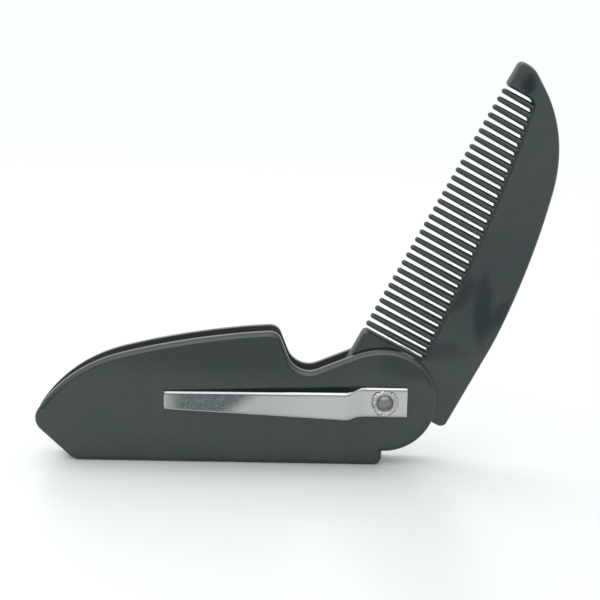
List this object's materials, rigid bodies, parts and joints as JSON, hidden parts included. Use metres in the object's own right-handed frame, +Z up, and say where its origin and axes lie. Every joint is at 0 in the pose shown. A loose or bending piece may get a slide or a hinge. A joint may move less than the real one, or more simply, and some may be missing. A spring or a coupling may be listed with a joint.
{
  "type": "folding beard comb",
  "caption": "Pocket comb whose toothed blade folds into a channel handle with a finger notch, a round pivot end and a sprung steel pocket clip.",
  "frame": {"origin": "middle of the flat under the handle that the comb stands on", "axes": "+X along the handle towards the pivot, +Y from the clip side to the back, +Z up, from the standing edge towards the slot's mouth"},
  "size_m": [0.1215, 0.0147, 0.0958],
  "materials": {
    "handle_plastic": "black gloss moulding",
    "blade_plastic": "black gloss moulding",
    "clip_steel": "bright nickel plate on spring steel",
    "rivet_steel": "rolled end, dull from the rivet tool"
  },
  "bodies": {
    "grip": {"handle": "handle_plastic", "pocket_clip": "clip_steel", "pivot_rivet": "rivet_steel"},
    "comb": {"comb_blade": "blade_plastic"}
  },
  "joints": [
    {"name": "comb_hinge", "type": "hinge", "parent": "grip", "child": "comb", "pos_m": [0.03695, 0, 0.01575], "axis": [0, 1, 0], "range_deg": [-117.6, 62.4]}
  ]
}
